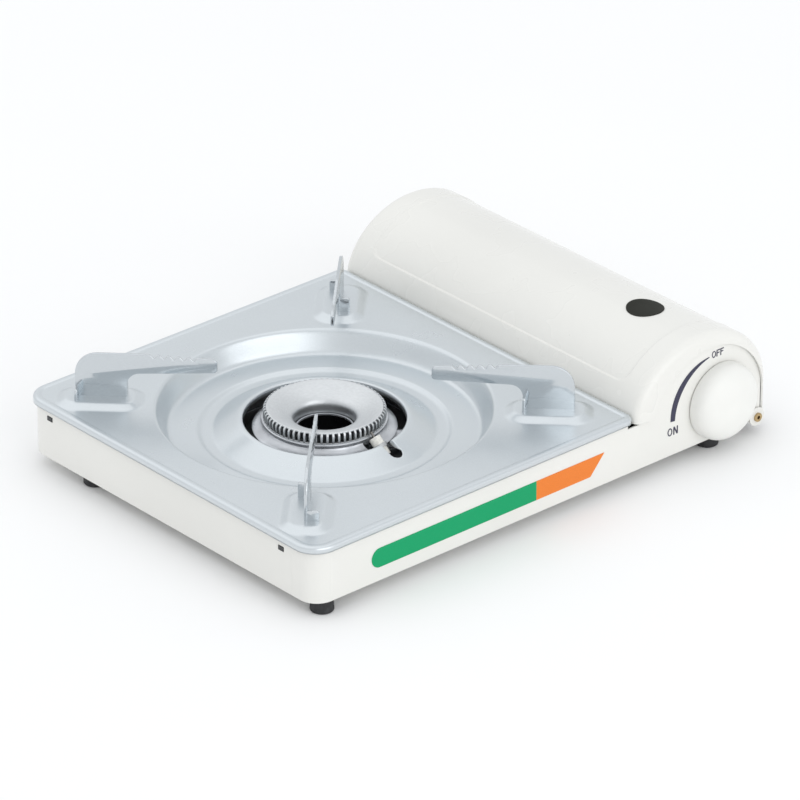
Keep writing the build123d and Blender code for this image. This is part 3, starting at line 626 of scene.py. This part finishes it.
def along(points, value):
    """Height of a broken line at a place, given as (place, height) in rising order."""
    if value <= points[0][0]:
        return points[0][1]
    for (a, low), (b, high) in zip(points, points[1:]):
        if value <= b:
            return low + (high - low) * (value - a) / (b - a)
    return points[-1][1]


# ---- drip tray --------------------------------------------------------------------------------
def rim_outline(sizes, inset, per_side=150, per_corner=12):
    """Points round the tray, large corners on the burner side."""
    x0, x1 = RIM_LOW.x + inset, RIM_HIGH.x - inset
    y0, y1 = RIM_LOW.y + inset, RIM_HIGH.y - inset
    big = max(0.3 * MM, sizes.big_corner - inset)
    small = max(0.3 * MM, sizes.small_corner - inset)
    corners = ((x1, y1, small, 0), (x0, y1, big, 90), (x0, y0, big, 180), (x1, y0, small, 270))
    arcs = []
    for x, y, r, start in corners:
        cx, cy = x - r * (1 if x == x1 else -1), y - r * (1 if y == y1 else -1)
        turns = [radians(start + 90 * k / per_corner) for k in range(per_corner + 1)]
        arcs.append([(cx + r * cos(a), cy + r * sin(a)) for a in turns])
    points = []
    for arc, following in zip(arcs, arcs[1:] + arcs[:1]):
        points += arc
        (ax, ay), (bx, by) = arc[-1], following[0]
        for k in range(1, per_side):
            points.append((ax + (bx - ax) * k / per_side, ay + (by - ay) * k / per_side))
    return points


def plinth_rise(sizes, x, y):
    """Height added by the nearest plinth at a place measured from the burner."""
    r, angle = hypot(x, y), atan2(y, x)
    off = angle % (pi / 2) - pi / 4
    forward, across = abs(r * cos(off) - PLINTH_AT), abs(r * sin(off))
    corner = PLINTH_WIDE / 2.5
    dx, dy = forward - (PLINTH_LONG / 2 - corner), across - (PLINTH_WIDE / 2 - corner)
    outside = hypot(max(dx, 0), max(dy, 0)) + min(max(dx, dy), 0) - corner
    slope = [min(1.0, max(0.0, s - outside / PLINTH_RUN)) for s in (-0.08, 0.0, 0.08)]
    return sizes.plinth_height * sum(slope) / 3


def dish_height(r):
    """Height of the dish from the flat at a radius, its bends rolled soft."""
    spread = (-0.8, -0.4, 0.0, 0.4, 0.8)
    return sum(along(DISH_PROFILE, r / MM + s) for s in spread) / len(spread) * MM


def notch_edge(angle):
    """Where a ray from the burner leaves the electrode notch, or nothing."""
    off = (angle - NOTCH_ANGLE + pi) % (2 * pi) - pi
    side = NOTCH_AT * sin(off)
    if abs(off) > 1 or abs(side) >= NOTCH_RADIUS:
        return 0.0
    return NOTCH_AT * cos(off) + sqrt(NOTCH_RADIUS ** 2 - side ** 2)


def tray_mesh(sizes):
    """Pressed tray: lip, dish, flat with plinths, and rim."""
    flat = RIM_HIGH.z - sizes.flat_drop
    border = rim_outline(sizes, sizes.rim_width + 0.5 * MM)
    angles = [atan2(y - BURNER.y, x - BURNER.x) for x, y in border]
    rows = []
    hole = sizes.hole_radius
    for drop, out in ((11.3, 0.0), (9.0, 0.0), (8.2, 0.06), (7.6, 0.35), (7.35, 0.8)):
        rows.append([(hole + out * MM, -drop * MM)] * len(border))
    r = hole + 1.6 * MM
    while r < sizes.dish_radius:
        rows.append([(r, None)] * len(border))
        r += 0.8 * MM
    points = []
    for row in rows:
        for (r, drop), angle in zip(row, angles):
            r = max(r, notch_edge(angle))
            z = dish_height(r) if drop is None or r > hole + 1 * MM else drop
            points.append((BURNER.x + r * cos(angle), BURNER.y + r * sin(angle), flat + z))
    spans = 64
    for i in range(spans + 1):
        t = i / spans
        for (x, y), angle in zip(border, angles):
            px = (1 - t) * (BURNER.x + sizes.dish_radius * cos(angle)) + t * x
            py = (1 - t) * (BURNER.y + sizes.dish_radius * sin(angle)) + t * y
            points.append((px, py, flat + plinth_rise(sizes, px - BURNER.x, py - BURNER.y)))
    for inset, rise in RIM_PROFILE:
        points += [(x, y, flat + rise * MM) for x, y in rim_outline(sizes, inset * MM)]
    count = len(border)
    return mesh_from("drip_tray_sheet", points, grid_faces(len(points) // count, count, True), 2e-6)


class STOVE_OT_drip_tray(bpy.types.Operator):
    """Build the pressed drip tray"""

    bl_idname = "stove.drip_tray"
    bl_label = "Drip Tray"

    def execute(self, context):
        sizes = context.scene.stove_tray
        tray = add_piece("tray_pressing", tray_mesh(sizes), "drip_tray", 60)
        wall = tray.modifiers.new("Sheet", "SOLIDIFY")
        wall.thickness = sizes.thickness
        wall.offset = -1
        return {"FINISHED"}


# ---- pan supports -----------------------------------------------------------------------------
def support_outline():
    """Side view of a pan support: distance from the burner and height, in millimetres."""
    top, tip_top, tip_low, foot = 79.8, 77.2, 68.3, 48.0
    tip, level, foot_in, foot_out = 66.0, 112.0, 122.0, 154.0
    shoulder, bend, bend_height = 14, 8, 58.5
    corners = [(foot_out, foot)]
    for a in range(0, 91, 10):
        corners.append((foot_out - shoulder + shoulder * cos(radians(a)),
                        top - shoulder + shoulder * sin(radians(a))))
    corners.append((level, top))
    for i in reversed(range(5)):
        r = 80.5 + 6.1 * i
        line = tip_top + (r - tip) * (top - tip_top) / (level - tip)
        corners += [(r + 2.1, line), (r, line - 2.5), (r - 2.1, line)]
    corners += [(tip + 1.5, tip_top), (tip, tip_top - 1.5), (tip, tip_low + 1.5), (tip + 1.5, tip_low)]
    for a in range(90, -1, -15):
        corners.append((foot_in - bend + bend * cos(radians(a)), bend_height + bend * sin(radians(a))))
    corners.append((foot_in, foot))
    return metres(corners)


def support_mesh(place, angle, thickness):
    """Notched blade with an ear bent to each side at its foot."""
    out = Vector((cos(angle), sin(angle), 0))
    side = Vector((sin(angle), -cos(angle), 0))
    origin = Vector((BURNER.x, BURNER.y, 0))
    upright = Matrix((out, (0, 0, 1), side)).transposed().to_4x4()
    upright.translation = origin
    outline = soften(support_outline(), 0.7 * MM, 3)
    plates = [plate_mesh(place + "_blade", outline, thickness, upright, SHEARED_EDGE)]
    for r, way, wide, high in ((123.0, 1, 7.0, 60.0), (153.0, -1, 8.0, 57.5)):
        crosswise = Matrix((side * way, (0, 0, 1), out)).transposed().to_4x4()
        crosswise.translation = origin + out * r * MM
        corners = metres(((0.2, 48.0), (wide, 48.0), (wide, high), (0.2, high)))
        outline = soften(corners, 1.4 * MM, 4)
        plates.append(plate_mesh(place + "_ear", outline, thickness * 0.97, crosswise, SHEARED_EDGE))
    return joined("pan_support_" + place, plates)


class STOVE_OT_pan_supports(bpy.types.Operator):
    """Build the four notched pan supports"""

    bl_idname = "stove.pan_supports"
    bl_label = "Pan Supports"

    def execute(self, context):
        thickness = context.scene.stove_burner.blade_thickness
        for place, angle in SUPPORTS:
            mesh = support_mesh(place, radians(angle), thickness)
            add_piece("support_blade_" + place, mesh, "pan_support_" + place, 50)
        return {"FINISHED"}


# ---- gas cover --------------------------------------------------------------------------------
def cover_section(sizes, count=320):
    """Points up the left side, over the arch and down the right side, each with its normal."""
    centre_x, centre_z = COVER_HIGH.x - sizes.half_width, COVER_HIGH.z - sizes.rise
    left = asin((COVER_LEFT_EDGE - centre_z) / sizes.rise)
    section = []
    for i in range(count + 1):
        a = pi - left - (pi - left) * i / count
        x, z = sizes.half_width * cos(a), sizes.rise * sin(a)
        normal = Vector((x / sizes.half_width ** 2, z / sizes.rise ** 2)).normalized()
        section.append((Vector((centre_x + x, centre_z + z)), normal))
    drop = centre_z - HINGE.z
    for i in range(1, 19):
        section.append((Vector((COVER_HIGH.x, centre_z - drop * i / 18)), Vector((1, 0))))
    return section


def to_opening(sizes, point, normal):
    """Distance from the skin inwards to the edge of the round opening."""
    if point.y < OPENING.y:
        return point.x - (OPENING.x + sizes.opening_radius)
    offset = point - OPENING
    b = offset.dot(normal)
    c = offset.dot(offset) - sizes.opening_radius ** 2
    return max(1.0 * MM, b - sqrt(max(b * b - c, 0.0))) if c > 0 and b > 0 else 1.0 * MM


def panel_sink(sizes, s, y, span):
    """How far the pressed panel lies in at arc length s and depth y."""
    low, high = span
    half = (high - low) / 2, (COVER_HIGH.y - PANEL_TO - COVER_LOW.y - PANEL_FROM) / 2
    mid = (high + low) / 2, (COVER_HIGH.y - PANEL_TO + COVER_LOW.y + PANEL_FROM) / 2
    dx = abs(s - mid[0]) - (half[0] - sizes.panel_corner)
    dy = abs(y - mid[1]) - (half[1] - sizes.panel_corner)
    outside = hypot(max(dx, 0), max(dy, 0)) + min(max(dx, dy), 0) - sizes.panel_corner
    return sizes.panel_depth * step(-outside / PANEL_STEP)


def cover_depths(sizes):
    """Depths of the rows between the two rounded ends, close together at the panel's edges."""
    start, end = COVER_LOW.y + sizes.end_radius, COVER_HIGH.y - sizes.end_radius
    edges = COVER_LOW.y + PANEL_FROM, COVER_HIGH.y - PANEL_TO
    depths, y = [], start
    while y < end:
        depths.append(y)
        near = min(abs(y - edges[0]), abs(y - edges[1]))
        y += 0.3 * MM if near < 1.8 * MM else 1.3 * MM if near < 13 * MM else 3.0 * MM
    return depths + [end]


def acos_safe(value):
    """Arc cosine of a value first brought into its range."""
    value = min(1.0, max(-1.0, value))
    return pi / 2 - asin(value)


def cover_mesh(sizes):
    """Arched cover with rounded ends, a lip round each opening and the pressed panel."""
    section = cover_section(sizes)
    lengths = [0.0]
    for (a, _), (b, _) in zip(section, section[1:]):
        lengths.append(lengths[-1] + (b - a).length)
    inside = [s for s, (p, _) in zip(lengths, section) if p.y > PANEL_FOOT]
    span = inside[0], inside[-1]
    reach = [to_opening(sizes, p, n) for p, n in section]
    rows = []
    for end, way in ((COVER_LOW.y, 1), (COVER_HIGH.y, -1)):
        lip = []
        for k in range(11):
            row = []
            for (point, normal), far in zip(section, reach):
                whole = far >= sizes.end_radius
                turn = radians(90) if whole else acos_safe(1 - far / sizes.end_radius)
                if k >= 3:
                    a = turn * (1 - (k - 3) / 7)
                    inwards = sizes.end_radius * (1 - cos(a))
                    depth = sizes.end_radius * (1 - sin(a))
                else:
                    rest = max(0.0, far - sizes.end_radius)
                    inwards = min(far, sizes.end_radius) + rest * (1 - k / 3)
                    depth = sizes.end_radius * (1 - sin(turn))
                at = point - normal * inwards
                row.append((at.x, end + way * depth, at.y))
            lip.append(row)
        rows.append(lip)
    main = []
    for y in cover_depths(sizes)[1:-1]:
        row = []
        for (point, normal), s in zip(section, lengths):
            at = point - normal * panel_sink(sizes, s, y, span)
            row.append((at.x, y, at.y))
        main.append(row)
    ordered = rows[0] + main + rows[1][::-1]
    points = [p for row in ordered for p in row]
    return mesh_from("gas_cover_sheet", points, grid_faces(len(ordered), len(section), False), 2e-6)


def ear_mesh(sizes, y):
    """Round ear with the rivet hole at one end of the cover."""
    outer, hole = 6.3 * MM, 2.05 * MM
    half = sizes.thickness / 2 + 0.03 * MM
    profile = [(hole, y - half), (outer - 0.3 * MM, y - half), (outer, y - half + 0.3 * MM),
               (outer, y + half - 0.3 * MM), (outer - 0.3 * MM, y + half), (hole, y + half)]
    return turned("cover_ear", profile, HINGE, 48, upright=False)


class STOVE_OT_gas_cover(bpy.types.Operator):
    """Build the arched gas cover with its pressed panel and riveted ears"""

    bl_idname = "stove.gas_cover"
    bl_label = "Gas Cover"

    def execute(self, context):
        sizes = context.scene.stove_cover
        skin = bpy.data.objects.new("cover_skin_source", cover_mesh(sizes))
        context.scene.collection.objects.link(skin)
        wall = skin.modifiers.new("Sheet", "SOLIDIFY")
        wall.thickness = sizes.thickness
        wall.offset = -1
        context.view_layer.update()
        solid = bpy.data.meshes.new_from_object(skin.evaluated_get(context.evaluated_depsgraph_get()))
        bpy.data.objects.remove(skin)
        half = sizes.thickness / 2
        ears = [ear_mesh(sizes, y) for y in (COVER_LOW.y + half, COVER_HIGH.y - half)]
        add_piece("cover_skin", joined("cover_skin", [solid] + ears), "gas_cover", 40)
        finish_node("cover_badge")
        return {"FINISHED"}


# ---- burner -----------------------------------------------------------------------------------
def ports_mesh(sizes, low, high):
    """Crown round the cap: a thin band with one post between each pair of slots."""
    outer, inner = sizes.cap_radius - 0.1 * MM, sizes.cap_radius - 1.95 * MM
    foot, slot = low + 0.9 * MM, 2.25 * MM
    band = [(inner, low), (outer, low), (outer, foot - 0.15 * MM), (outer - 0.15 * MM, foot),
            (inner, foot)]
    meshes = [turned("port_band", band, BURNER)]
    post = [(inner, foot - 0.1 * MM), (outer, foot - 0.1 * MM), (outer, high - 1.8 * MM),
            (outer - 0.3 * MM, high - 0.9 * MM), (outer - 1.1 * MM, high), (inner, high)]
    wide = 2 * pi * outer / sizes.ports - slot
    for i in range(sizes.ports):
        a = 2 * pi * (i + 0.5) / sizes.ports
        place = Matrix(((cos(a), sin(a), 0), (0, 0, 1), (sin(a), -cos(a), 0))).transposed().to_4x4()
        place.translation = (BURNER.x, BURNER.y, 0)
        meshes.append(plate_mesh("port_post", post, wide, place, 0.12 * MM))
    return joined("burner_ports_ring", meshes)


def skirt_mesh(profile, gap_angle, gap_wide, steps=160):
    """Flared skirt of the bowl, open on the electrode's side."""
    points = []
    for radius, height in profile:
        half = asin(gap_wide / 2 / radius)
        for j in range(steps + 1):
            a = gap_angle + half + (2 * pi - 2 * half) * j / steps
            points.append((BURNER.x + radius * cos(a), BURNER.y + radius * sin(a), height))
    count, across = len(profile), steps + 1
    faces = grid_faces(count, across, False)
    faces += [((count - 1) * across + j, (count - 1) * across + j + 1, j + 1, j) for j in range(steps)]
    faces += [tuple(i * across for i in range(count)), tuple(i * across + steps for i in range(count))]
    return mesh_from("bowl_skirt", points, faces)


class STOVE_OT_burner(bpy.types.Operator):
    """Build the burner's cap, slotted ring and bowl"""

    bl_idname = "stove.burner"
    bl_label = "Burner"

    def execute(self, context):
        sizes = context.scene.stove_burner
        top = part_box("burner_cap")[1].z / MM
        cap_r, well = sizes.cap_radius / MM, sizes.well_radius / MM
        edge = cap_r - 2
        cap = [(edge, top - 1.0), (edge + 0.04, top - 0.5), (edge - 0.1, top - 0.15), (edge - 0.5, top),
               (edge - 1.1, top - 0.05), (34.2, top - 0.35), (32.4, top - 0.8), (30.5, top - 1.35),
               (28.0, top - 2.3), (25.5, top - 3.35), (23.4, top - 4.4), (well + 2.4, top - 5.5),
               (well + 1.3, top - 6.5), (well + 0.5, top - 7.7), (well + 0.1, top - 9.0),
               (well, top - 10.4), (well, top - 14), (well, top - 18), (well + 0.9, top - 18),
               (well + 0.95, top - 10.2), (well + 1.4, top - 8.8), (well + 2.4, top - 7.2),
               (23.4, top - 5.9), (26.2, top - 4.4), (31.0, top - 2.2), (35.0, top - 1.1)]
        add_piece("cap_pressing", turned("burner_cap_turned", metres(cap), BURNER), "burner_cap", 45)
        low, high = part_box("burner_ports")[0].z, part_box("burner_ports")[1].z
        add_piece("port_ring", ports_mesh(sizes, low, high), "burner_ports", 30)
        port = low / MM
        bowl = [(36.2, port), (cap_r + 0.6, port), (cap_r + 0.85, port - 0.25),
                (cap_r + 0.85, port - 0.6), (cap_r + 0.5, port - 1.05), (cap_r - 0.2, port - 1.3),
                (cap_r - 0.3, port - 2.7), (37.9, 36.0), (37.2, 34.9), (36.4, 34.4), (31.6, 30.7),
                (29.4, 29.4), (28.5, 28.6), (28.2, 27.2), (28.2, 15.6), (27.7, 14.8), (27.0, 14.5),
                (17.4, 14.5), (17.4, 24.0), (17.4, 33.0), (18.4, 33.0), (18.4, 15.5), (26.8, 15.5),
                (27.2, 16.0), (27.2, 29.2), (30.4, 31.2), (35.7, 35.6)]
        skirt = [(37.9, 37.7), (38.5, 36.6), (39.4, 35.75), (40.6, 35.1), (42.2, 34.65),
                 (44.8, 34.35), (45.0, 34.1), (44.8, 33.75), (42.0, 34.0), (40.4, 34.4),
                 (39.0, 35.0), (37.6, 35.6)]
        meshes = [turned("burner_bowl_turned", metres(bowl), BURNER),
                  skirt_mesh(metres(skirt), NOTCH_ANGLE, 12 * MM)]
        add_piece("bowl_casting", joined("burner_bowl_mesh", meshes), "burner_bowl", 50)
        for node in ("burner_bracket", "burner_screws", "mixing_tube", "air_sleeve", "heat_shield",
                     "electrode_bracket", "electrode_insulator", "electrode_pin", "ignition_wire"):
            finish_node(node)
        return {"FINISHED"}


# ---- knob -------------------------------------------------------------------------------------
class STOVE_OT_knob(bpy.types.Operator):
    """Build the domed control knob"""

    bl_idname = "stove.knob"
    bl_label = "Control Knob"

    def execute(self, context):
        front, back = KNOB_LOW.y, KNOB_HIGH.y
        radius = (KNOB_HIGH.x - KNOB_LOW.x) / 2
        depth = back - front
        axis = 0.001 * MM
        dome = []
        for i in range(25):
            a = radians(90) * i / 24
            dome.append((radius * sin(a) ** 0.86, front + (depth - 1.5 * MM) * (1 - cos(a) ** 0.72)))
        inside = [(radius, back - 0.4 * MM), (radius - 0.4 * MM, back), (radius - 1.7 * MM, back),
                  (radius - 2.2 * MM, back - 3 * MM), (21 * MM, front + 7 * MM),
                  (17 * MM, front + 4.6 * MM), (7 * MM, front + 3.2 * MM), (6.5 * MM, back - 0.5 * MM),
                  (3.0 * MM, back - 0.5 * MM), (3.0 * MM, front + 3.8 * MM), (axis, front + 3.8 * MM)]
        profile = [(max(r, axis), y) for r, y in dome] + inside
        mesh = turned("knob_turned", profile, middle("knob"), 128, upright=False)
        add_piece("knob_dome", mesh, "knob", 50)
        for node in ("knob_shaft", "shaft_cam", "knob_scale"):
            finish_node(node)
        return {"FINISHED"}


# ---- body and small parts ---------------------------------------------------------------------
class STOVE_OT_body(bpy.types.Operator):
    """Finish the body sheets, labels, feet and fixings"""

    bl_idname = "stove.body"
    bl_label = "Body"

    def execute(self, context):
        for node in ("base_pan", "front_panel", "rear_panel", "partition", "front_label",
                     "rating_label", "tray_clips", "base_screws", "hinge_rivet_front",
                     "hinge_rivet_rear"):
            finish_node(node)
        for node in frame["nodes"]:
            if node.startswith("foot_"):
                finish_node(node)
        return {"FINISHED"}


class STOVE_OT_gas_unit(bpy.types.Operator):
    """Finish the regulator, igniter and cartridge bay"""

    bl_idname = "stove.gas_unit"
    bl_label = "Gas Unit"

    def execute(self, context):
        for node in ("regulator_body", "regulator_cap", "gas_jet", "valve_spindle", "cartridge_plate",
                     "socket_seal", "holding_magnets", "cartridge_cradle", "piezo_igniter",
                     "piezo_plunger"):
            finish_node(node)
        return {"FINISHED"}


# ---- stage ------------------------------------------------------------------------------------
def aim(thing, place, target):
    """Place a light or camera and point it."""
    thing.location = place
    thing.rotation_euler = (Vector(target) - Vector(place)).to_track_quat("-Z", "Y").to_euler()


def soft_light(name, place, target, size, energy):
    """Large soft panel light."""
    data = bpy.data.lights.new(name, "AREA")
    data.shape = "DISK"
    data.size = size
    data.energy = energy
    light = bpy.data.objects.new(name, data)
    bpy.context.scene.collection.objects.link(light)
    aim(light, place, target)


class STOVE_OT_stage(bpy.types.Operator):
    """Set the floor, the studio light and the camera"""

    bl_idname = "stove.stage"
    bl_label = "Stage"

    def execute(self, context):
        stage = context.scene.stove_stage
        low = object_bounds()[0]
        corners = [(-6, -6, 0), (6, -6, 0), (6, 6, 0), (-6, 6, 0)]
        floor_mesh = mesh_from("floor", corners, [(0, 1, 2, 3)])
        floor = bpy.data.objects.new("floor", floor_mesh)
        floor.location.z = low[2] - 0.2 * MM
        paper, tree, shader = start_material("floor_paper", (0.93, 0.93, 0.93), roughness=0.9)
        two_tone(tree, shader, noise(tree, 3, 2), (0.925, 0.925, 0.925), (0.935, 0.935, 0.935))
        floor_mesh.materials.append(paper)
        context.scene.collection.objects.link(floor)
        floor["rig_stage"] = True
        world = bpy.data.worlds.new("surround")
        world.use_nodes = True
        background = world.node_tree.nodes["Background"]
        background.inputs["Color"].default_value = (0.97, 0.985, 1.0, 1)
        background.inputs["Strength"].default_value = stage.sky
        context.scene.world = world
        soft_light("key_light", (-0.2, -2.8, 0.9), AIM_POINT, 3.6, stage.key)
        soft_light("top_light", (-0.3, 0.9, 2.4), AIM_POINT, 5.0, stage.top)
        camera = bpy.data.objects.new("camera", bpy.data.cameras.new("camera"))
        camera.data.sensor_width = 36.0
        camera.data.lens = stage.lens
        camera.data.clip_end = 50.0
        turn, rise = stage.azimuth, stage.elevation
        back = Vector((-sin(turn) * cos(rise), -cos(turn) * cos(rise), sin(rise)))
        context.scene.collection.objects.link(camera)
        aim(camera, AIM_POINT + back * stage.distance, AIM_POINT)
        context.scene.camera = camera
        context.scene.view_settings.view_transform = "Standard"
        return {"FINISHED"}


# ---- panel and run ----------------------------------------------------------------------------
STEPS = (STOVE_OT_body, STOVE_OT_gas_unit, STOVE_OT_drip_tray, STOVE_OT_pan_supports, STOVE_OT_burner,
         STOVE_OT_knob, STOVE_OT_gas_cover, STOVE_OT_stage)


class STOVE_PT_panel(bpy.types.Panel):
    """Lists the stove's pieces"""

    bl_idname = "STOVE_PT_panel"
    bl_label = "Portable Gas Stove"
    bl_space_type = "VIEW_3D"
    bl_region_type = "UI"
    bl_category = "Stove"

    def draw(self, context):
        for operator in STEPS:
            self.layout.operator(operator.bl_idname)


SETTINGS = {"stove_tray": TraySizes, "stove_cover": CoverSizes, "stove_burner": BurnerSizes,
            "stove_colours": StoveColours, "stove_stage": StageSettings}


def register():
    """Register the settings, the operators and the panel."""
    for name, group in SETTINGS.items():
        bpy.utils.register_class(group)
        setattr(bpy.types.Scene, name, PointerProperty(type=group))
    for item in STEPS + (STOVE_PT_panel,):
        bpy.utils.register_class(item)


def unregister():
    """Undo register."""
    for item in reversed(STEPS + (STOVE_PT_panel,)):
        bpy.utils.unregister_class(item)
    for name, group in SETTINGS.items():
        delattr(bpy.types.Scene, name)
        bpy.utils.unregister_class(group)


def main():
    """Build everything in order."""
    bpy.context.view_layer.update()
    register()
    bpy.ops.stove.body()
    bpy.ops.stove.gas_unit()
    bpy.ops.stove.drip_tray()
    bpy.ops.stove.pan_supports()
    bpy.ops.stove.burner()
    bpy.ops.stove.knob()
    bpy.ops.stove.gas_cover()
    bpy.ops.stove.stage()
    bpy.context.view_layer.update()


if __name__ == "__main__":
    main()
